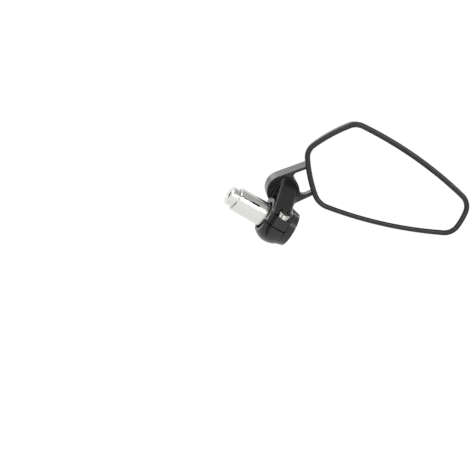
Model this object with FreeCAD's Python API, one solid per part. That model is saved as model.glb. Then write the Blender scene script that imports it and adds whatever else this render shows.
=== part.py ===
import FreeCAD, Part
import math
import os

# Bar-end motorcycle mirror, in millimetres.
# X runs along the handlebar and outboard, Y forward and away from the rider, Z up.
# The origin is on the bar's axis, where the end of the handlebar meets the end cap.

# Handlebar that the mirror is made for
BAR_OUTER = 22.0
BAR_BORE = 19.0
BAR_GRIP_CLEARANCE = 0.1
PLUG_CLEARANCE = 0.1

# Expander sleeve and its cone nut
SLEEVE_LENGTH = 37.6
SLIT_COUNT = 3
SLIT_WIDTH = 1.5
SLIT_LENGTH = 17.0
SLIT_ANGLE = 34.0
SLEEVE_EDGE = 0.5
CONE_DIAMETER = 14.4
CONE_PROUD = 6.2
CONE_DEPTH = 10.0
CONE_HALF_ANGLE = 8.0
CONE_CLEARANCE = 0.35
CONE_EDGE = 0.8
KEY_CLEARANCE = 0.3
TAPER_RUN_OUT = 4.0

# Expander bolt
BOLT_DIAMETER = 6.0
BOLT_HEAD_DIAMETER = 10.0
BOLT_HEAD_HEIGHT = 6.0
BOLT_SOCKET = 5.0
BOLT_SOCKET_DEPTH = 3.0
BOLT_TIP_RECESS = 4.0
BOLT_WASHER_THICKNESS = 1.4
HOLE_CLEARANCE = 0.3
THREAD_CLEARANCE = 0.05

# End cap
CAP_LENGTH = 6.6
CAP_GROOVE = 0.4
CAP_INNER_RADIUS = 14.9
CAP_OUTER_RADIUS = 13.5
CAP_EDGE = 0.2
CAP_CREST = 0.3
SPIGOT_CLEARANCE = 0.05
SPIGOT_LENGTH = 4.0
BOLT_HEAD_RECESS = 0.8

# Clamp ring, fullest at its crest and drawn out towards the pinch screw
RING_WIDTH = 16.4
RING_CREST = 9.2
RING_FACE_RADIUS = 12.9
RING_CREST_RADIUS = 16.6
RING_LIP_RADIUS = 15.0
RING_BEVEL = 0.6
CLAMP_SLIT = 0.9

# Pinch screw, which leans towards the rider at its head
PINCH_DIAMETER = 5.0
PINCH_LEAN = 4.0
PINCH_HEAD_DIAMETER = 8.5
PINCH_HEAD_HEIGHT = 3.5
PINCH_SOCKET = 3.0
PINCH_SOCKET_DEPTH = 2.0
PINCH_WALL = 0.9
PINCH_SEAT = 8.9
PINCH_ENGAGEMENT = 4.8
PINCH_HOLE_END = 0.5
EAR_WALL = 1.3
HEAD_POCKET_CLEARANCE = 0.5

# Arm and pivot
PIVOT_X = -5.4
PIVOT_HEIGHT = 19.5
ARM_BACK = 15.0
ARM_END_RADIUS = 11.2
ARM_NECK = 7.6
ARM_TIP_THICKNESS = 3.0
ARM_SLOPE_MID_Y = -1.5
ARM_SLOPE_MID_Z = 21.5
ARM_FOOT_Y = -17.5
ARM_FOOT_Z = 9.0
ARM_HEEL_Z = 7.0
ARM_EDGE = 2.2
ARM_BACK_CHAMFER = 1.2
ARM_PLATE_EDGE = 1.0
POCKET_DEPTH = 2.4
POCKET_WALL = 1.6
POCKET_PLATE = 6.5
POCKET_FLOOR_RADIUS = 14.2
FRICTION_THICKNESS = 0.8
FRICTION_DIAMETER = 21.0

# Pivot screw and the pieces under its head
PIVOT_SCREW_DIAMETER = 6.0
PIVOT_HEAD_DIAMETER = 10.0
PIVOT_HEAD_HEIGHT = 3.2
PIVOT_SOCKET = 4.0
PIVOT_SOCKET_DEPTH = 2.0
PIVOT_ENGAGEMENT = 10.0
PIVOT_TIP_GAP = 1.0
PIVOT_WASHER_THICKNESS = 1.0
PIVOT_WASHER_DIAMETER = 12.0
PIVOT_SPRING_THICKNESS = 0.6
PIVOT_SPRING_RISE = 0.4
PIVOT_SPRING_COUNT = 2
BUSH_WALL = 1.0
BUSH_CLEARANCE = 0.05
PIVOT_COUNTERBORE = 6.6
COUNTERBORE_CLEARANCE = 0.4

# Stem: a disc on the pivot, then a fork of two bars round a window
STEM_DISC_RADIUS = 12.4
STEM_DEPTH = 14.5
STEM_ANGLE = 53.4
STEM_LENGTH = 28.0
STEM_END_WIDTH = 22.2
STEM_UPPER_BAR = 2.0
STEM_LOWER_BAR = 2.9
STEM_LOWER_DEPTH = 7.0
STEM_WINDOW_END = 25.5
STEM_WINDOW_CORNER = 3.4
STEM_EDGE = 0.5

# Mirror head, its corners measured from the pivot along X and Z with their radii
HEAD_TOP_LEFT = (17.6, 75.9)
HEAD_LEFT = (-4.8, 36.9)
HEAD_BOTTOM_LEFT = (26.3, 4.2)
HEAD_BOTTOM_RIGHT = (128.0, 35.6)
HEAD_TOP_RIGHT = (126.5, 65.7)
HEAD_TOP_LEFT_RADIUS = 14.6
HEAD_LEFT_RADIUS = 13.1
HEAD_BOTTOM_LEFT_RADIUS = 18.5
HEAD_BOTTOM_RIGHT_RADIUS = 13.6
HEAD_TOP_RIGHT_RADIUS = 13.7
HEAD_TOP_BULGE = 4.9
HEAD_BOTTOM_BULGE = 4.4
HEAD_SIDE_BULGE = 2.2
HEAD_FRONT = 10.0
HEAD_DEPTH = 21.0
HEAD_BACK_RADIUS = 300.0
HEAD_BACK_EDGE = 5.0
HEAD_TAPER = 5.0
RIM_DEPTH = 3.0
HEAD_WALL = 2.4
RIM_WIDTH = 3.7
RIM_EDGE = 1.5
LEDGE_WIDTH = 3.0

# Glass and its gasket
GLASS_RADIUS = 1200.0
GLASS_THICKNESS = 2.0
GLASS_CLEARANCE = 0.3
GLASS_RECESS = 1.6
GASKET_THICKNESS = 1.0

# Bevels on screws, as shares of the radius, and how far a cut runs past a face
SCREW_HEAD_BEVEL = 0.1
SCREW_TIP_BEVEL = 0.2
PAST = 1.0

# When two places count as one, and when three points count as a straight line
TOUCHING = 0.001
STRAIGHT = 0.01

# Sizes that follow from the ones above
BOLT_RADIUS = BOLT_DIAMETER / 2
PINCH_RADIUS = PINCH_DIAMETER / 2
PIVOT_SCREW_RADIUS = PIVOT_SCREW_DIAMETER / 2
SLEEVE_RADIUS = BAR_BORE / 2 - PLUG_CLEARANCE
CLAMP_BORE = BAR_OUTER / 2 + BAR_GRIP_CLEARANCE
SPIGOT_RADIUS = CLAMP_BORE - SPIGOT_CLEARANCE
RING_OUTBOARD = SPIGOT_LENGTH
RING_INBOARD = RING_OUTBOARD - RING_WIDTH
RING_CREST_X = RING_INBOARD + RING_CREST
CAP_SEAT = RING_OUTBOARD + CAP_GROOVE
CAP_END = CAP_SEAT + CAP_LENGTH
BOLT_SEAT = CAP_END - BOLT_HEAD_RECESS - BOLT_HEAD_HEIGHT
CONE_SLOPE = math.tan(math.radians(CONE_HALF_ANGLE))
CONE_RADIUS = CONE_DIAMETER / 2
SLEEVE_MOUTH = CONE_RADIUS + CONE_CLEARANCE
PINCH_OFFSET = CLAMP_BORE + PINCH_WALL + PINCH_RADIUS + HOLE_CLEARANCE
EAR_SHIFT = PINCH_OFFSET + PINCH_RADIUS + EAR_WALL - RING_CREST_RADIUS
DISC_FRONT = ARM_BACK + FRICTION_THICKNESS
DISC_BACK = DISC_FRONT + STEM_DEPTH
COUNTERBORE_FLOOR = DISC_BACK - PIVOT_COUNTERBORE
SPRING_HEIGHT = PIVOT_SPRING_THICKNESS + PIVOT_SPRING_RISE
SPRING_SEAT = COUNTERBORE_FLOOR + PIVOT_WASHER_THICKNESS
PIVOT_HEAD_SEAT = SPRING_SEAT + PIVOT_SPRING_COUNT * SPRING_HEIGHT
BUSH_RADIUS = PIVOT_SCREW_RADIUS + BUSH_CLEARANCE + BUSH_WALL
GLASS_BACK_AT_EDGE = HEAD_FRONT + GLASS_RECESS + GLASS_THICKNESS
LEDGE = GLASS_BACK_AT_EDGE + GASKET_THICKNESS
FAR = 200.0

ORIGIN = FreeCAD.Vector(0, 0, 0)
ALONG_X = FreeCAD.Vector(1, 0, 0)
ALONG_Y = FreeCAD.Vector(0, 1, 0)
ALONG_Z = FreeCAD.Vector(0, 0, 1)
PIVOT = FreeCAD.Vector(PIVOT_X, 0, PIVOT_HEIGHT)


def at(x, y, z):
    return FreeCAD.Vector(x, y, z)


def line(start, end):
    return Part.LineSegment(start, end).toShape()


def arc(start, middle, end):
    return Part.Arc(start, middle, end).toShape()


def solid_of(shape):
    """The one solid that a boolean leaves, without its compound."""
    solids = shape.Solids
    if len(solids) != 1:
        raise ValueError(f"expected one solid, found {len(solids)}")
    return solids[0]


def turned(profile):
    """A solid of revolution about the bar's axis, from (x, radius) points."""
    points = [at(x, r, 0) for x, r in profile]
    wire = Part.makePolygon(points + points[:1])
    return Part.Face(wire).revolve(ORIGIN, ALONG_X, 360)


def bored(x0, x1, radius):
    return Part.makeCylinder(radius, x1 - x0, at(x0, 0, 0), ALONG_X)


def across(y0, y1, radius):
    """A cylinder on the pivot's axis."""
    return Part.makeCylinder(radius, y1 - y0, at(PIVOT_X, y0, PIVOT_HEIGHT), ALONG_Y)


def tube_across(y0, y1, inner, outer):
    return across(y0, y1, outer).cut(across(y0, y1, inner))


def hexagon(across_flats, depth):
    corner = across_flats / math.sqrt(3)
    points = [
        at(corner * math.cos(math.radians(60 * i)), corner * math.sin(math.radians(60 * i)), 0)
        for i in range(7)
    ]
    return Part.Face(Part.makePolygon(points)).extrude(at(0, 0, depth))


def socket_screw(radius, length, head_radius, head_height, socket, socket_depth):
    """A socket screw with its seat at the origin and its head along +Z."""
    head = Part.makeCylinder(head_radius, head_height)
    rims = [e for e in head.Edges if e.BoundBox.ZMin > head_height / 2]
    head = head.makeChamfer(SCREW_HEAD_BEVEL * head_radius, rims)
    shank = Part.makeCylinder(radius, length, at(0, 0, -length))
    tips = [e for e in shank.Edges if e.BoundBox.ZMax < -length / 2]
    shank = shank.makeChamfer(SCREW_TIP_BEVEL * radius, tips)
    recess = hexagon(socket, socket_depth).translated(at(0, 0, head_height - socket_depth))
    return solid_of(head.fuse(shank).cut(recess).removeSplitter())


def placed(shape, base, axis):
    shape.Placement = FreeCAD.Placement(base, FreeCAD.Rotation(ALONG_Z, axis))
    return shape


def pinch_axis():
    lean = math.radians(PINCH_LEAN)
    return at(0, -math.sin(lean), math.cos(lean))


def pinch_side():
    """From the bar's axis towards the pinch screw, square to the screw."""
    lean = math.radians(PINCH_LEAN)
    return at(0, -math.cos(lean), -math.sin(lean))


def pinch_point(height):
    return at(RING_CREST_X, 0, 0) + pinch_side() * PINCH_OFFSET + pinch_axis() * height


def pinch_cylinder(radius, low, high):
    return Part.makeCylinder(radius, high - low, pinch_point(low), pinch_axis())


def expander_sleeve():
    mouth = -SLEEVE_LENGTH
    taper_end = mouth + CONE_DEPTH + TAPER_RUN_OUT
    taper_radius = SLEEVE_MOUTH - (taper_end - mouth) * CONE_SLOPE
    hole = BOLT_RADIUS + HOLE_CLEARANCE
    body = turned([
        (0, hole),
        (0, SLEEVE_RADIUS),
        (mouth + SLEEVE_EDGE, SLEEVE_RADIUS),
        (mouth, SLEEVE_RADIUS - SLEEVE_EDGE),
        (mouth, SLEEVE_MOUTH),
        (taper_end, taper_radius),
        (taper_end, hole),
    ])
    for i in range(SLIT_COUNT):
        body = body.cut(in_slit(mouth - PAST, mouth + SLIT_LENGTH, 0, SLEEVE_RADIUS + PAST, SLIT_WIDTH, i))
    return solid_of(body)


def in_slit(x0, x1, inner, outer, width, index):
    """A bar that fills one of the sleeve's slits between two radii."""
    bar = Part.makeBox(x1 - x0, outer - inner, width, at(x0, inner, -width / 2))
    return bar.rotated(ORIGIN, ALONG_X, 180 - SLIT_ANGLE + 360 * index / SLIT_COUNT)


def cone_nut():
    mouth = -SLEEVE_LENGTH
    outer_end = mouth - CONE_PROUD
    inner_end = mouth + CONE_DEPTH
    inner_radius = CONE_RADIUS - CONE_DEPTH * CONE_SLOPE
    hole = BOLT_RADIUS + THREAD_CLEARANCE
    body = turned([
        (outer_end, hole + CONE_EDGE),
        (outer_end, CONE_RADIUS - CONE_EDGE),
        (outer_end + CONE_EDGE, CONE_RADIUS),
        (mouth, CONE_RADIUS),
        (inner_end, inner_radius),
        (inner_end, hole),
        (outer_end + CONE_EDGE, hole),
    ])
    key_width = SLIT_WIDTH - 2 * KEY_CLEARANCE
    for i in range(SLIT_COUNT):
        body = body.fuse(in_slit(mouth, inner_end, hole + CONE_EDGE, CONE_RADIUS, key_width, i))
    return solid_of(body.removeSplitter())


def expander_bolt():
    tip = -SLEEVE_LENGTH - CONE_PROUD + BOLT_TIP_RECESS
    screw = socket_screw(
        BOLT_RADIUS, BOLT_SEAT - tip, BOLT_HEAD_DIAMETER / 2, BOLT_HEAD_HEIGHT, BOLT_SOCKET, BOLT_SOCKET_DEPTH
    )
    return placed(screw, at(BOLT_SEAT, 0, 0), ALONG_X)


def bolt_washer():
    inner = BOLT_RADIUS + HOLE_CLEARANCE
    outer = BOLT_HEAD_DIAMETER / 2
    return solid_of(turned([
        (BOLT_SEAT - BOLT_WASHER_THICKNESS, inner),
        (BOLT_SEAT - BOLT_WASHER_THICKNESS, outer),
        (BOLT_SEAT, outer),
        (BOLT_SEAT, inner),
    ]))


def end_cap():
    hole = BOLT_RADIUS + HOLE_CLEARANCE
    well = BOLT_HEAD_DIAMETER / 2 + HOLE_CLEARANCE
    floor = BOLT_SEAT - BOLT_WASHER_THICKNESS
    return solid_of(turned([
        (0, hole),
        (0, SPIGOT_RADIUS - RING_BEVEL),
        (RING_BEVEL, SPIGOT_RADIUS),
        (CAP_SEAT, SPIGOT_RADIUS),
        (CAP_SEAT, CAP_INNER_RADIUS - RING_BEVEL),
        (CAP_SEAT + RING_BEVEL, CAP_INNER_RADIUS),
        (CAP_END - CAP_CREST - CAP_EDGE, CAP_OUTER_RADIUS),
        (CAP_END - CAP_CREST, CAP_OUTER_RADIUS - CAP_EDGE),
        (CAP_END, well + CAP_EDGE),
        (CAP_END, well),
        (floor, well),
        (floor, hole),
    ]))


def ring_profile(angle):
    """Half of the clamp ring's lengthwise section, turned about the bar's axis from +Y."""
    face = at(RING_INBOARD, RING_FACE_RADIUS, 0)
    crest = at(RING_CREST_X, RING_CREST_RADIUS, 0)
    lip = at(RING_OUTBOARD, RING_LIP_RADIUS, 0)
    wire = Part.Wire([
        arc(face, below_crest(face, crest), crest),
        arc(crest, below_crest(lip, crest), lip),
        line(lip, at(RING_OUTBOARD, 0, 0)),
        line(at(RING_OUTBOARD, 0, 0), at(RING_INBOARD, 0, 0)),
        line(at(RING_INBOARD, 0, 0), face),
    ])
    return Part.Face(wire).rotated(ORIGIN, ALONG_X, angle)


def below_crest(end, crest):
    """The middle of the arc that leaves the crest level and falls to the end."""
    run = end.x - crest.x
    fall = crest.y - end.y
    radius = (run ** 2 + fall ** 2) / (2 * fall)
    half = math.asin(abs(run) / radius) / 2
    return crest + at(math.copysign(radius * math.sin(half), run), radius * (math.cos(half) - 1), 0)


def ring():
    """The clamp ring's outside, with the flat pad that the pinch screw's head sits on."""
    reach = pinch_side() * EAR_SHIFT
    up = 90 + PINCH_LEAN
    back_half = ring_profile(up + 180).revolve(ORIGIN, ALONG_X, 180)
    front_half = ring_profile(up).revolve(ORIGIN, ALONG_X, 180).translated(reach)
    bands = [ring_profile(up).extrude(reach), ring_profile(up + 180).extrude(reach)]
    pad = ring_profile(up + 90).translated(reach).extrude(pinch_axis() * PINCH_SEAT)
    return back_half.fuse([front_half, pad] + bands)


def arm():
    """The arm: a round plate on the pivot and a neck below it, both cut to one sloping side view."""
    top = PIVOT_HEIGHT + ARM_END_RADIUS
    tip = at(-FAR, ARM_BACK - ARM_TIP_THICKNESS, top)
    slope = at(-FAR, ARM_SLOPE_MID_Y, ARM_SLOPE_MID_Z)
    foot = at(-FAR, ARM_FOOT_Y, ARM_FOOT_Z)
    side = Part.Wire([
        line(at(-FAR, ARM_BACK, top), tip),
        bowed(tip, slope, foot),
        line(foot, at(-FAR, -CLAMP_BORE, 0)),
        line(at(-FAR, -CLAMP_BORE, 0), at(-FAR, CLAMP_BORE, 0)),
        line(at(-FAR, CLAMP_BORE, 0), at(-FAR, ARM_BACK, ARM_HEEL_Z)),
        line(at(-FAR, ARM_BACK, ARM_HEEL_Z), at(-FAR, ARM_BACK, top)),
    ])
    side_view = Part.Face(side).extrude(ALONG_X * 2 * FAR)
    plate = across(ARM_BACK - POCKET_PLATE, ARM_BACK, ARM_END_RADIUS)
    rims = [e for e in plate.Edges if e.BoundBox.YMax < ARM_BACK - POCKET_PLATE / 2]
    plate = plate.makeChamfer(ARM_PLATE_EDGE, rims)
    plate = plate.common(Part.makeBox(FAR, FAR, FAR, at(RING_INBOARD, 0, 0)))
    neck = sloped(arm_neck(), side_view, slope + ALONG_X * (FAR + PIVOT_X))
    body = neck.fuse(plate.common(side_view)).removeSplitter()
    heel = [
        e for e in body.Edges
        if e.BoundBox.XMax < RING_INBOARD + TOUCHING and e.BoundBox.YMin > ARM_BACK - TOUCHING
    ]
    body = body.makeChamfer(ARM_BACK_CHAMFER, heel)
    return solid_of(body.cut(arm_pocket(side_view, tip - foot)))


def bowed(start, middle, end):
    """A side through three points: an arc, or a line where they lie as good as straight."""
    straight = line(start, end)
    if straight.distToShape(Part.Vertex(middle))[0] < STRAIGHT:
        return straight
    return arc(start, middle, end)


def arm_neck():
    """The neck as the rider sees it, from the ring up under the pivot's round end."""
    top = PIVOT_HEIGHT + ARM_END_RADIUS
    neck = PIVOT_X + ARM_NECK
    inboard_top = PIVOT_HEIGHT + math.sqrt(ARM_END_RADIUS ** 2 - (PIVOT_X - RING_INBOARD) ** 2)
    outboard_top = PIVOT_HEIGHT + math.sqrt(ARM_END_RADIUS ** 2 - ARM_NECK ** 2)
    outline = Part.Wire([
        line(at(RING_INBOARD, 0, 0), at(RING_INBOARD, 0, inboard_top)),
        arc(at(RING_INBOARD, 0, inboard_top), at(PIVOT_X, 0, top), at(neck, 0, outboard_top)),
        line(at(neck, 0, outboard_top), at(neck, 0, 0)),
        line(at(neck, 0, 0), at(RING_INBOARD, 0, 0)),
    ])
    body = Part.Face(outline).extrude(ALONG_Y * 2 * FAR)
    return body.translated(ALONG_Y * -FAR)


def sloped(body, side_view, on_slope):
    """A body cut to the arm's side view, with both sides of its sloping front rounded."""
    body = solid_of(body.common(side_view))
    crest = min(body.Faces, key=lambda face: face.distToShape(Part.Vertex(on_slope))[0])
    sides = [e for e in crest.Edges if e.BoundBox.XLength < TOUCHING]
    return body.makeFillet(ARM_EDGE, sides)


def arm_pocket(side_view, rise):
    """The pocket in the arm's inboard flank, between its sloping front and its back plate."""
    inward = rise.cross(ALONG_X).normalize()
    if inward.y < 0:
        inward = inward * -1
    pocket = side_view.translated(inward * POCKET_WALL)
    start = at(RING_INBOARD - PAST, -FAR, -FAR)
    room = Part.makeBox(PAST + POCKET_DEPTH, FAR + ARM_BACK - POCKET_PLATE, 2 * FAR, start)
    pocket = pocket.common(room)
    return pocket.cut(bored(-FAR, FAR, POCKET_FLOOR_RADIUS))


def clamp_arm():
    body = ring().fuse(arm())
    body = body.cut(bored(RING_INBOARD - FAR, RING_OUTBOARD + FAR, CLAMP_BORE))
    mouth = Part.makeCone(CLAMP_BORE + RING_BEVEL, CLAMP_BORE, RING_BEVEL, at(RING_INBOARD, 0, 0), ALONG_X)
    body = body.cut(mouth)
    slit = Part.makeBox(FAR, FAR, CLAMP_SLIT, at(-FAR / 2, -FAR, -CLAMP_SLIT / 2))
    slit.rotate(ORIGIN, ALONG_X, PINCH_LEAN)
    slit = slit.common(bored(-FAR, FAR, FAR / 2))
    body = body.cut(slit)
    pocket = PINCH_HEAD_DIAMETER / 2 + HEAD_POCKET_CLEARANCE
    body = body.cut(pinch_cylinder(pocket, PINCH_SEAT, PINCH_SEAT + FAR))
    body = body.cut(pinch_cylinder(PINCH_RADIUS + HOLE_CLEARANCE, 0, PINCH_SEAT))
    body = body.cut(pinch_cylinder(PINCH_RADIUS + THREAD_CLEARANCE, -PINCH_ENGAGEMENT - PINCH_HOLE_END, 0))
    thread = PIVOT_SCREW_RADIUS + THREAD_CLEARANCE
    body = body.cut(across(ARM_BACK - PIVOT_ENGAGEMENT, ARM_BACK, thread))
    return solid_of(body.removeSplitter())


def pinch_screw():
    screw = socket_screw(
        PINCH_RADIUS,
        PINCH_SEAT + PINCH_ENGAGEMENT,
        PINCH_HEAD_DIAMETER / 2,
        PINCH_HEAD_HEIGHT,
        PINCH_SOCKET,
        PINCH_SOCKET_DEPTH,
    )
    return placed(screw, pinch_point(PINCH_SEAT), pinch_axis())


def friction_washer():
    """A washer with one straight side, flush with the arm's inboard flank."""
    hole = PIVOT_SCREW_RADIUS + HOLE_CLEARANCE
    disc = tube_across(ARM_BACK, DISC_FRONT, hole, FRICTION_DIAMETER / 2)
    start = at(RING_INBOARD + ARM_BACK_CHAMFER, 0, -FAR)
    return solid_of(disc.common(Part.makeBox(FAR, FAR, 2 * FAR, start)))


def pivot_screw():
    tip = ARM_BACK - PIVOT_ENGAGEMENT + PIVOT_TIP_GAP
    screw = socket_screw(
        PIVOT_SCREW_RADIUS,
        PIVOT_HEAD_SEAT - tip,
        PIVOT_HEAD_DIAMETER / 2,
        PIVOT_HEAD_HEIGHT,
        PIVOT_SOCKET,
        PIVOT_SOCKET_DEPTH,
    )
    return placed(screw, PIVOT + ALONG_Y * PIVOT_HEAD_SEAT, ALONG_Y)


def pivot_washer():
    hole = PIVOT_SCREW_RADIUS + HOLE_CLEARANCE
    return solid_of(tube_across(COUNTERBORE_FLOOR, SPRING_SEAT, hole, PIVOT_WASHER_DIAMETER / 2))


def pivot_springs():
    """Disc springs, stacked rim to rim."""
    inner = PIVOT_SCREW_RADIUS + HOLE_CLEARANCE
    outer = PIVOT_WASHER_DIAMETER / 2
    springs = []
    for i in range(PIVOT_SPRING_COUNT):
        seat = SPRING_SEAT + i * SPRING_HEIGHT
        lift_inner = PIVOT_SPRING_RISE if i % 2 else 0
        lift_outer = PIVOT_SPRING_RISE - lift_inner
        points = [
            at(inner, seat + lift_inner, 0),
            at(outer, seat + lift_outer, 0),
            at(outer, seat + lift_outer + PIVOT_SPRING_THICKNESS, 0),
            at(inner, seat + lift_inner + PIVOT_SPRING_THICKNESS, 0),
        ]
        spring = Part.Face(Part.makePolygon(points + points[:1])).revolve(ORIGIN, ALONG_Y, 360)
        springs.append(spring.translated(PIVOT))
    return Part.makeCompound(springs)


def pivot_bush():
    inner = PIVOT_SCREW_RADIUS + BUSH_CLEARANCE
    return solid_of(tube_across(DISC_FRONT, COUNTERBORE_FLOOR, inner, BUSH_RADIUS))


def head_point(corner):
    return PIVOT + at(corner[0], 0, corner[1])


def edge_circle(start, end, bulge):
    """Centre and radius of the arc from start to end that bows outwards by the bulge."""
    chord = end - start
    outward = ALONG_Y.cross(chord).normalize()
    radius = chord.Length ** 2 / (8 * bulge) + bulge / 2
    return (start + end) / 2 - outward * (radius - bulge), radius


def circles_meet(first, second, near):
    """The point where two circles cross that lies nearest to a given one."""
    (centre_a, radius_a), (centre_b, radius_b) = first, second
    between = centre_b - centre_a
    along = (radius_a ** 2 - radius_b ** 2 + between.Length ** 2) / (2 * between.Length)
    aside = math.sqrt(radius_a ** 2 - along ** 2)
    towards = FreeCAD.Vector(between).normalize()
    foot = centre_a + towards * along
    square = ALONG_Y.cross(towards) * aside
    return min([foot + square, foot - square], key=lambda point: (point - near).Length)


def head_outline(inset):
    """The mirror head's outline, drawn in by an inset, as a flat face with rounded corners."""
    corners = [
        (HEAD_TOP_LEFT, HEAD_TOP_LEFT_RADIUS, HEAD_SIDE_BULGE),
        (HEAD_LEFT, HEAD_LEFT_RADIUS, HEAD_SIDE_BULGE),
        (HEAD_BOTTOM_LEFT, HEAD_BOTTOM_LEFT_RADIUS, HEAD_BOTTOM_BULGE),
        (HEAD_BOTTOM_RIGHT, HEAD_BOTTOM_RIGHT_RADIUS, HEAD_SIDE_BULGE),
        (HEAD_TOP_RIGHT, HEAD_TOP_RIGHT_RADIUS, HEAD_TOP_BULGE),
    ]
    points = [head_point(corner) for corner, radius, bulge in corners]
    sides = []
    for i, (corner, radius, bulge) in enumerate(corners):
        sides.append(edge_circle(points[i], points[(i + 1) % len(points)], bulge))
    rounds = []
    for i, (corner, radius, bulge) in enumerate(corners):
        rounds.append(corner_round(sides[i - 1], sides[i], points[i], radius, inset))
    edges = []
    for i, (centre, sweep) in enumerate(sides):
        start, middle, end = rounds[i]
        following = rounds[(i + 1) % len(rounds)][0]
        outward = ((end + following) / 2 - centre).normalize()
        edges.append(arc(start, middle, end))
        edges.append(arc(end, centre + outward * (sweep - inset), following))
    return Part.Face(Part.Wire(edges))


def corner_round(side_before, side_after, point, radius, inset):
    """Start, middle and end of the arc that touches two sides inside their corner."""
    reach = [(centre, sweep - radius) for centre, sweep in (side_before, side_after)]
    middle = circles_meet(reach[0], reach[1], point)
    start = (middle - side_before[0]).normalize()
    end = (middle - side_after[0]).normalize()
    bisector = (start + end).normalize()
    return [middle + way * (radius - inset) for way in (start, bisector, end)]


def head_prism(inset, y0, y1):
    """The head's outline drawn in by an inset, from y0 back to y1."""
    face = head_outline(inset)
    face.translate(ALONG_Y * y0)
    return face.extrude(ALONG_Y * (y1 - y0))


def head_loft(inset0, y0, inset1, y1):
    """A tapering solid between two insets of the head's outline."""
    wires = []
    for inset, y in ((inset0, y0), (inset1, y1)):
        face = head_outline(inset)
        face.translate(ALONG_Y * y)
        wires.append(face.OuterWire)
    return Part.makeLoft(wires, True, True)


def head_centre():
    box = head_outline(0).BoundBox
    return at(box.Center.x, 0, box.Center.z)


def dome(radius, crest):
    """A ball on the head's middle whose back crest is at the given depth."""
    return Part.makeSphere(radius, head_centre() + ALONG_Y * (crest - radius))


def glass_ball(radius, crest):
    """A ball on the head's middle whose front crest is at the given depth."""
    return Part.makeSphere(radius, head_centre() + ALONG_Y * (crest + radius))


def stem_frame(along, side):
    turn = math.radians(STEM_ANGLE)
    return PIVOT + at(
        along * math.cos(turn) - side * math.sin(turn), 0, along * math.sin(turn) + side * math.cos(turn)
    )


def stem_strip(y0, y1, upper_trim, lower_trim, length):
    """The tapered strip from the pivot towards the head, narrowed by a trim on each side."""
    taper = (STEM_DISC_RADIUS - STEM_END_WIDTH / 2) * length / STEM_LENGTH
    upper = STEM_DISC_RADIUS - upper_trim
    lower = STEM_DISC_RADIUS - lower_trim
    points = [
        stem_frame(0, -lower),
        stem_frame(length, taper - lower),
        stem_frame(length, upper - taper),
        stem_frame(0, upper),
    ]
    face = Part.Face(Part.makePolygon(points + points[:1]))
    face.translate(ALONG_Y * y0)
    return face.extrude(ALONG_Y * (y1 - y0))


def stem():
    disc = across(DISC_FRONT, DISC_BACK, STEM_DISC_RADIUS)
    core = across(DISC_FRONT - 2 * PAST, DISC_BACK + 2 * PAST, STEM_DISC_RADIUS)
    strip = stem_strip(DISC_FRONT, DISC_BACK, 0, 0, STEM_LENGTH)
    window = stem_strip(DISC_FRONT - PAST, DISC_BACK + PAST, STEM_UPPER_BAR, STEM_LOWER_BAR, STEM_WINDOW_END)
    window = max(window.cut(core).Solids, key=stem_reach)
    uprights = [e for e in window.Edges if e.BoundBox.YLength > STEM_DEPTH and len(e.Vertexes) == 2]
    window = window.makeFillet(STEM_WINDOW_CORNER, uprights)
    behind = stem_strip(
        DISC_FRONT + STEM_LOWER_DEPTH, DISC_BACK + PAST, STEM_DISC_RADIUS, -PAST, STEM_WINDOW_END
    )
    body = solid_of(strip.cut([window, behind, core]).fuse(disc).removeSplitter())
    front = min(body.Faces, key=lambda face: face.CenterOfMass.y)
    head_end = max(front.Edges, key=stem_reach)
    return body.makeChamfer(STEM_EDGE, [e for e in front.Edges if not e.isSame(head_end)])


def stem_reach(piece):
    return (piece.CenterOfMass - PIVOT).dot(stem_frame(1, 0) - PIVOT)


def mirror_casing():
    crest = HEAD_FRONT + HEAD_DEPTH
    rim_back = HEAD_FRONT + RIM_DEPTH
    rim = head_prism(0, HEAD_FRONT, rim_back)
    bowl = head_loft(0, rim_back, HEAD_TAPER, crest + PAST).common(dome(HEAD_BACK_RADIUS, crest))
    back = max(bowl.Faces, key=lambda face: face.CenterOfMass.y)
    bowl = bowl.makeFillet(HEAD_BACK_EDGE, back.OuterWire.Edges)
    body = rim.fuse([bowl, stem()])
    cavity = head_prism(RIM_WIDTH + LEDGE_WIDTH, HEAD_FRONT, crest).common(
        dome(HEAD_BACK_RADIUS - HEAD_WALL, crest - HEAD_WALL)
    )
    body = body.cut(cavity)
    body = body.cut(head_prism(RIM_WIDTH, HEAD_FRONT - PAST, LEDGE))
    front = min(body.Faces, key=lambda face: face.CenterOfMass.y)
    body = body.makeFillet(RIM_EDGE, front.Edges)
    body = body.cut(across(DISC_FRONT - PAST, DISC_BACK + PAST, BUSH_RADIUS + BUSH_CLEARANCE))
    counterbore = PIVOT_WASHER_DIAMETER / 2 + COUNTERBORE_CLEARANCE
    body = body.cut(across(COUNTERBORE_FLOOR, DISC_BACK + PAST, counterbore))
    return solid_of(body)


def mirror_glass():
    crest = HEAD_FRONT + GLASS_RECESS - glass_rise()
    slab = head_prism(RIM_WIDTH + GLASS_CLEARANCE, HEAD_FRONT - HEAD_DEPTH, LEDGE)
    inner = glass_ball(GLASS_RADIUS - GLASS_THICKNESS, crest + GLASS_THICKNESS)
    return solid_of(slab.common(glass_ball(GLASS_RADIUS, crest).cut(inner)))


def glass_rise():
    """How far the glass's middle stands in front of its farthest edge."""
    box = head_outline(0).BoundBox
    half = max(box.XLength, box.ZLength) / 2 - RIM_WIDTH
    return GLASS_RADIUS - math.sqrt(GLASS_RADIUS ** 2 - half ** 2)


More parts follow.
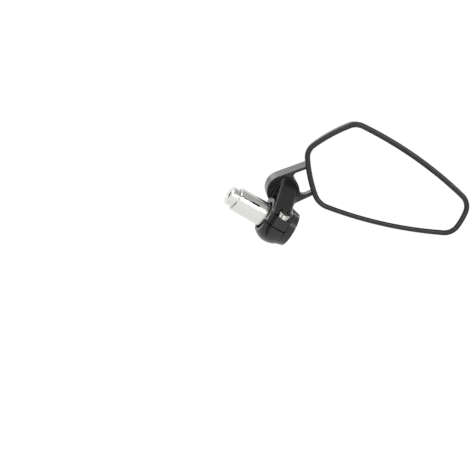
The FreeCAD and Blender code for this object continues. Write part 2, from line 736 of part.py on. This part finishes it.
def glass_gasket():
    crest = HEAD_FRONT + GLASS_RECESS - glass_rise() + GLASS_THICKNESS
    ring = head_prism(RIM_WIDTH + GLASS_CLEARANCE, HEAD_FRONT, LEDGE)
    ring = ring.cut(head_prism(RIM_WIDTH + LEDGE_WIDTH, HEAD_FRONT - PAST, LEDGE + PAST))
    return solid_of(ring.common(glass_ball(GLASS_RADIUS - GLASS_THICKNESS, crest)))


PIECES = [
    expander_sleeve,
    cone_nut,
    expander_bolt,
    bolt_washer,
    end_cap,
    clamp_arm,
    pinch_screw,
    friction_washer,
    pivot_screw,
    pivot_washer,
    pivot_springs,
    pivot_bush,
    mirror_casing,
    mirror_glass,
    glass_gasket,
]


def main():
    os.makedirs("parts", exist_ok=True)
    for piece in PIECES:
        piece().exportStep(f"parts/{piece.__name__}.step")


main()
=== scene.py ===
import math
import bpy
from mathutils import Matrix, Vector


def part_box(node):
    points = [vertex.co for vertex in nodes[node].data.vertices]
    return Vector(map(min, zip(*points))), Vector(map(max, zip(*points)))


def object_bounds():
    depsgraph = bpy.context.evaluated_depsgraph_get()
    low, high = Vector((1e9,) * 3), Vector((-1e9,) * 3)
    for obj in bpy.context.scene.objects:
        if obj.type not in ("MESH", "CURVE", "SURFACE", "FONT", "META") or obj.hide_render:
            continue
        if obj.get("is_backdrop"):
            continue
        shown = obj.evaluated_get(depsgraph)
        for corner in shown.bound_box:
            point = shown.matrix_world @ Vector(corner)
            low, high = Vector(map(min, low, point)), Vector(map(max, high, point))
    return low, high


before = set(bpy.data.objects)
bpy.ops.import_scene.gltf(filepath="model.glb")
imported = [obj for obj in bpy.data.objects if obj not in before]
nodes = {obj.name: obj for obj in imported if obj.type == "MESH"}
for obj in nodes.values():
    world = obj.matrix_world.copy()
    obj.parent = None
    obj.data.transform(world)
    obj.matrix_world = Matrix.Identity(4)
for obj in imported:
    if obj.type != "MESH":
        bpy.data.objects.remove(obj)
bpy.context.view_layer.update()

# Lengths are in metres and angles in degrees, unless a name says otherwise
MM = 0.001

# The photograph's frame
IMAGE_SIDE = 470
PLUG_END_PIXEL = (235.9, 198.6)
METRES_PER_PIXEL = 0.749 * MM

# The camera: beside and a little above the mirror, rolled so that the bar falls to the right
CAMERA_AZIMUTH = -14.5
CAMERA_ELEVATION = 10.5
CAMERA_ROLL = 32.4
CAMERA_DISTANCE = 12.0
SENSOR_MM = 36.0

# Colours of the bare metals, where they are dull and where they are bright
ALUMINIUM_DULL = (0.64, 0.64, 0.62, 1.0)
ALUMINIUM_BRIGHT = (0.76, 0.76, 0.74, 1.0)
ZINC_DULL = (0.58, 0.58, 0.55, 1.0)
ZINC_BRIGHT = (0.72, 0.71, 0.68, 1.0)
SILVER_DULL = (0.955, 0.965, 0.965, 1.0)
SILVER_BRIGHT = (0.97, 0.975, 0.975, 1.0)

# Up to which height the pinch screw's thread has painted shade, and over how far it fades out
# above
PAINTED_SHADE_TOP = 5 * MM
PAINTED_SHADE_FADE = 1 * MM

# The floor, and how much of it glows where an eye or a shine sees it
FLOOR_DROP = 0.16
FLOOR_SIDE = 8.0
FLOOR_WHITE = 0.9
FLOOR_GLOW = 0.86
FLOOR_BRIGHTNESS = 1.12

# The sky's light, and its ceiling in shines, which darkens between two heights
SKY_LIGHT = 0.55
CEILING_START = 0.6
CEILING_FULL = 0.9
CEILING_LEVEL = 0.5

# The grey cards, a hair above the floor, which fade in by distance and out by slope
FLAG_SIDE = 0.9
FLAG_HEIGHT = 0.6
FLAG_LIFT = 2 * MM
FLAG_GREY = 0.1
FLAG_FADE = 0.05
FLAG_EDGE = 0.36


def direction(azimuth, elevation):
    """From the object towards an eye at that azimuth and elevation."""
    turn = math.radians(azimuth)
    rise = math.radians(elevation)
    across = math.sin(turn) * math.cos(rise)
    along = -math.cos(turn) * math.cos(rise)
    return Vector((across, along, math.sin(rise)))


def grey(level):
    return (level, level, level, 1.0)


class Value:
    """A shader socket that adds Math nodes when it is used in an expression."""

    def __init__(self, graph, socket):
        self.graph = graph
        self.socket = socket

    def math(self, operation, first, second):
        settings = {"operation": operation}
        return self.graph.node("ShaderNodeMath", settings, {0: first, 1: second})["Value"]

    def __add__(self, other):
        return self.math("ADD", self, other)

    def __radd__(self, other):
        return self.math("ADD", other, self)

    def __sub__(self, other):
        return self.math("SUBTRACT", self, other)

    def __rsub__(self, other):
        return self.math("SUBTRACT", other, self)

    def __mul__(self, other):
        return self.math("MULTIPLY", self, other)

    def __rmul__(self, other):
        return self.math("MULTIPLY", other, self)

    def __truediv__(self, other):
        return self.math("DIVIDE", self, other)

    def __abs__(self):
        return self.math("ABSOLUTE", self, 0.0)


class Outputs:
    """A node's outputs by name or number, each as a Value."""

    def __init__(self, graph, node):
        self.graph = graph
        self.node = node

    def __getitem__(self, name):
        return Value(self.graph, self.node.outputs[name])


class Graph:
    """The nodes of a material or of the world."""

    def __init__(self, owner):
        owner.use_nodes = True
        self.tree = owner.node_tree

    def node(self, kind, settings, inputs):
        node = self.tree.nodes.new(kind)
        for name, value in settings.items():
            setattr(node, name, value)
        for name, value in inputs.items():
            self.feed(node.inputs[name], value)
        return Outputs(self, node)

    def feed(self, socket, value):
        if isinstance(value, Value):
            self.tree.links.new(value.socket, socket)
        else:
            socket.default_value = value

    def set(self, node, name, value):
        self.feed(self.tree.nodes[node].inputs[name], value)

    def axes(self, vector):
        return self.node("ShaderNodeSeparateXYZ", {}, {"Vector": vector})

    def ramp(self, value, low, high, at_low, at_high):
        """A straight change from one level to another between two values, held outside them."""
        inputs = {"Value": value, "From Min": low, "From Max": high}
        inputs.update({"To Min": at_low, "To Max": at_high})
        return self.node("ShaderNodeMapRange", {"clamp": True}, inputs)["Result"]


class Finish(Graph):
    """A material and the nodes that make it."""

    def __init__(self, name, **constants):
        self.material = bpy.data.materials.new(name)
        super().__init__(self.material)
        for socket, value in constants.items():
            self.paint(socket.replace("_", " "), value)

    def paint(self, name, value):
        self.set("Principled BSDF", name, value)

    def place(self, stretch=(1, 1, 1)):
        where = self.node("ShaderNodeTexCoord", {}, {})["Object"]
        return self.node("ShaderNodeMapping", {}, {"Vector": where, "Scale": stretch})["Vector"]

    def noise(self, size, stretch=(1, 1, 1), detail=2.0):
        inputs = {"Vector": self.place(stretch), "Scale": 1 / size, "Detail": detail}
        return self.node("ShaderNodeTexNoise", {}, inputs)["Fac"]

    def mix(self, share, first, second):
        """A blend of two colours. A Mix node repeats its sockets' names, so these go by number."""
        inputs = {0: share, 6: first, 7: second}
        return self.node("ShaderNodeMix", {"data_type": "RGBA"}, inputs)[2]

    def bump(self, height, depth):
        inputs = {"Height": height, "Strength": 1.0, "Distance": depth}
        self.paint("Normal", self.node("ShaderNodeBump", {}, inputs)["Normal"])


def moulded_black():
    """Satin black moulding with a fine spark-eroded grain."""
    finish = Finish("moulded_black", Specular_IOR_Level=0.45)
    grain = finish.noise(size=0.5 * MM, detail=3.0)
    cloud = finish.noise(size=20 * MM)
    finish.paint("Base Color", finish.mix(cloud, grey(0.008), grey(0.013)))
    finish.paint("Roughness", 0.22 + 0.06 * grain + 0.04 * cloud)
    finish.bump(grain, depth=0.012 * MM)
    return finish.material


def coated_black():
    """Black powder coat on a casting, with a soft orange peel."""
    finish = Finish("coated_black", Specular_IOR_Level=0.5)
    peel = finish.noise(size=1.1 * MM)
    cloud = finish.noise(size=12 * MM)
    finish.paint("Base Color", finish.mix(cloud, grey(0.007), grey(0.012)))
    finish.paint("Roughness", 0.18 + 0.06 * peel + 0.04 * cloud)
    finish.bump(peel, depth=0.02 * MM)
    return finish.material


def turned_aluminium():
    """Bright aluminium with the rings that a lathe tool leaves round the bar's axis."""
    finish = Finish("turned_aluminium", Metallic=1.0)
    rings = finish.noise(size=0.25 * MM, stretch=(1, 0.02, 0.02))
    cloud = finish.noise(size=6 * MM)
    finish.paint("Base Color", finish.mix(rings, ALUMINIUM_DULL, ALUMINIUM_BRIGHT))
    finish.paint("Roughness", 0.16 + 0.10 * rings + 0.06 * cloud)
    finish.bump(rings, depth=0.004 * MM)
    return finish.material


def zinc_steel():
    """Bright zinc-plated steel."""
    finish = Finish("zinc_steel", Metallic=1.0)
    cloud = finish.noise(size=1.5 * MM, detail=3.0)
    finish.paint("Base Color", finish.mix(cloud, ZINC_DULL, ZINC_BRIGHT))
    finish.paint("Roughness", 0.16 + 0.14 * cloud)
    finish.bump(cloud, depth=0.004 * MM)
    return finish.material


def zinc_with_painted_shade():
    """Bright zinc on a screw's head, and painted shade down its thread: near-black and duller
    below a height.
    """
    finish = Finish("zinc_with_painted_shade", Metallic=1.0)
    cloud = finish.noise(size=1.5 * MM, detail=3.0)
    height = finish.axes(finish.place())["Z"]
    # Painted shade: below a set height the screw is painted near-black and duller instead of lit
    # zinc
    unshaded = finish.ramp(height, PAINTED_SHADE_TOP, PAINTED_SHADE_TOP + PAINTED_SHADE_FADE, 0.0, 1.0)
    zinc = finish.mix(cloud, ZINC_DULL, ZINC_BRIGHT)
    finish.paint("Base Color", finish.mix(unshaded, grey(0.02), zinc))
    finish.paint("Roughness", 0.45 - 0.29 * unshaded + 0.14 * cloud)
    finish.bump(cloud, depth=0.004 * MM)
    return finish.material


def black_oxide():
    """Oiled black oxide on steel."""
    finish = Finish("black_oxide", Metallic=0.6)
    cloud = finish.noise(size=1 * MM, detail=3.0)
    finish.paint("Base Color", finish.mix(cloud, grey(0.015), grey(0.04)))
    finish.paint("Roughness", 0.32 + 0.16 * cloud)
    return finish.material


def black_nylon():
    """Dull nylon of the pivot's washer and bush."""
    finish = Finish("black_nylon")
    grain = finish.noise(size=0.4 * MM)
    finish.paint("Base Color", finish.mix(grain, grey(0.016), grey(0.03)))
    finish.paint("Roughness", 0.48 + 0.12 * grain)
    return finish.material


def gasket_rubber():
    """Dull black rubber, which shows as a thin line round the glass."""
    finish = Finish("gasket_rubber")
    grain = finish.noise(size=0.3 * MM)
    finish.paint("Base Color", finish.mix(grain, grey(0.006), grey(0.014)))
    finish.paint("Roughness", 0.7 + 0.15 * grain)
    return finish.material


def mirror_silver():
    """Silvered glass, with the faintest unevenness."""
    finish = Finish("mirror_silver", Metallic=1.0)
    cloud = finish.noise(size=30 * MM)
    finish.paint("Base Color", finish.mix(cloud, SILVER_DULL, SILVER_BRIGHT))
    finish.paint("Roughness", 0.008 + 0.01 * cloud)
    return finish.material


def dress():
    """Gives every CAD node its finish."""
    coat = coated_black()
    bright = turned_aluminium()
    zinc = zinc_steel()
    oxide = black_oxide()
    nylon = black_nylon()
    wear = {
        "expander_sleeve": bright,
        "cone_nut": bright,
        "expander_bolt": oxide,
        "bolt_washer": zinc,
        "end_cap": coat,
        "clamp_arm": coat,
        "pinch_screw": zinc_with_painted_shade(),
        "friction_washer": nylon,
        "pivot_screw": oxide,
        "pivot_washer": zinc,
        "pivot_springs": zinc,
        "pivot_bush": nylon,
        "mirror_casing": moulded_black(),
        "mirror_glass": mirror_silver(),
        "glass_gasket": gasket_rubber(),
    }
    for name, material in wear.items():
        node = nodes[name]
        node.data.materials.clear()
        node.data.materials.append(material)


def add_camera():
    """A long lens that puts the plug's inboard end on its pixel of the photograph."""
    towards = direction(CAMERA_AZIMUTH, CAMERA_ELEVATION)
    across = Vector((0, 0, 1)).cross(towards).normalized()
    upward = towards.cross(across)
    roll = math.radians(CAMERA_ROLL)
    right = across * math.cos(roll) + upward * math.sin(roll)
    up = upward * math.cos(roll) - across * math.sin(roll)
    plug_end = Vector((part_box("expander_sleeve")[0].x, 0, 0))
    aside = (PLUG_END_PIXEL[0] - IMAGE_SIDE / 2) * METRES_PER_PIXEL
    above = (IMAGE_SIDE / 2 - PLUG_END_PIXEL[1]) * METRES_PER_PIXEL
    target = plug_end - right * aside - up * above
    lens = bpy.data.cameras.new("lens")
    lens.sensor_width = SENSOR_MM
    lens.lens = SENSOR_MM * CAMERA_DISTANCE / (IMAGE_SIDE * METRES_PER_PIXEL)
    camera = bpy.data.objects.new("camera", lens)
    turned = Matrix((right, up, towards)).transposed().to_4x4()
    camera.matrix_world = Matrix.Translation(target + towards * CAMERA_DISTANCE) @ turned
    bpy.context.collection.objects.link(camera)
    bpy.context.scene.camera = camera


def add_floor():
    """A plain white floor well under the mirror, which its own plug holds up."""
    bpy.ops.object.select_all(action="DESELECT")
    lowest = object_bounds()[0].z
    bpy.ops.mesh.primitive_plane_add(size=FLOOR_SIDE, location=(0, 0, lowest - FLOOR_DROP))
    floor = bpy.context.object
    floor.name = "floor"
    finish = Finish("white_floor", Base_Color=grey(FLOOR_WHITE), Roughness=0.9)
    path = finish.node("ShaderNodeLightPath", {}, {})
    seen = path["Is Camera Ray"] + path["Is Glossy Ray"] + path["Is Transmission Ray"]
    glow = finish.node("ShaderNodeEmission", {}, {"Strength": FLOOR_BRIGHTNESS})["Emission"]
    paint = Outputs(finish, finish.tree.nodes["Principled BSDF"])["BSDF"]
    layers = {0: FLOOR_GLOW * seen, 1: paint, 2: glow}
    blend = finish.node("ShaderNodeMixShader", {}, layers)["Shader"]
    finish.set("Material Output", "Surface", blend)
    floor.data.materials.append(finish.material)
    floor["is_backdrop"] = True


def add_world():
    """White walls, a darker ceiling that only shines show, and a plain soft light."""
    world = bpy.data.worlds.new("studio")
    graph = Graph(world)
    path = graph.node("ShaderNodeLightPath", {}, {})
    rise = graph.axes(graph.node("ShaderNodeTexCoord", {}, {})["Generated"])["Z"]
    shine = graph.ramp(rise, CEILING_START, CEILING_FULL, 1.0, CEILING_LEVEL)
    seen = path["Is Camera Ray"] + path["Is Transmission Ray"]
    shone = path["Is Glossy Ray"]
    strength = SKY_LIGHT + (1 - SKY_LIGHT) * seen + (shine - SKY_LIGHT) * shone
    graph.set("Background", "Color", grey(1.0))
    graph.set("Background", "Strength", strength)
    bpy.context.scene.world = world


def add_flag(name, azimuth, start, core):
    """A grey card that only shines show: it widens along the floor, then stands up.

    It starts at a distance from the object, and its sides fade out from the core's slope on.
    """
    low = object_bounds()[0].z - FLOOR_DROP + FLAG_LIFT
    middle = direction(azimuth, 0) * FLAG_SIDE / 2 + Vector((0, 0, low))
    turn = (0, 0, math.radians(azimuth))
    bpy.ops.object.select_all(action="DESELECT")
    bpy.ops.mesh.primitive_plane_add(size=FLAG_SIDE, location=middle, rotation=turn)
    card = bpy.context.object
    card.name = name
    bpy.ops.object.mode_set(mode="EDIT")
    bpy.ops.mesh.select_all(action="DESELECT")
    bpy.ops.object.mode_set(mode="OBJECT")
    for corner in card.data.vertices:
        corner.select = corner.co.y < 0
    bpy.ops.object.mode_set(mode="EDIT")
    bpy.ops.mesh.extrude_region_move(TRANSFORM_OT_translate={"value": (0, 0, FLAG_HEIGHT)})
    bpy.ops.object.mode_set(mode="OBJECT")
    finish = Finish("flag_grey", Base_Color=grey(FLAG_GREY), Specular_IOR_Level=0.0, Roughness=1.0)
    place = finish.axes(finish.place())
    reach = FLAG_SIDE / 2 - place["Y"]
    begun = finish.ramp(reach, start, start + FLAG_FADE, 0.0, 1.0)
    narrow = finish.ramp(abs(place["X"]) / reach, core, FLAG_EDGE, 1.0, 0.0)
    finish.paint("Alpha", begun * narrow)
    card.data.materials.append(finish.material)
    card.visible_camera = False
    card.visible_diffuse = False
    card.visible_shadow = False
    card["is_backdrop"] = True


def add_softbox(name, azimuth, elevation, distance, width, height, watts):
    """A soft lamp that faces the object."""
    lamp = bpy.data.lights.new(name, "AREA")
    lamp.shape = "RECTANGLE"
    lamp.size = width
    lamp.size_y = height
    lamp.energy = watts
    holder = bpy.data.objects.new(name, lamp)
    towards = direction(azimuth, elevation)
    holder.location = towards * distance
    holder.rotation_euler = towards.to_track_quat("Z", "Y").to_euler()
    bpy.context.collection.objects.link(holder)


def add_light():
    """The sky, the cards, and the lamps: above, low in front, on the left and behind."""
    add_world()
    add_flag("flag_left", azimuth=-36, start=0.0, core=0.12)
    add_flag("flag_right", azimuth=75, start=0.25, core=0.0)
    add_softbox("softbox_above", azimuth=24, elevation=36, distance=1.0,
                width=0.85, height=0.22, watts=3.8)
    add_softbox("softbox_side", azimuth=-11, elevation=3, distance=0.85,
                width=0.08, height=0.44, watts=0.9)
    add_softbox("softbox_left", azimuth=-95, elevation=40, distance=1.0,
                width=0.3, height=0.3, watts=1.8)
    add_softbox("softbox_back", azimuth=-160, elevation=8, distance=1.2,
                width=0.25, height=0.4, watts=0.45)


dress()
add_floor()
add_light()
add_camera()
bpy.context.scene.view_settings.view_transform = "Standard"
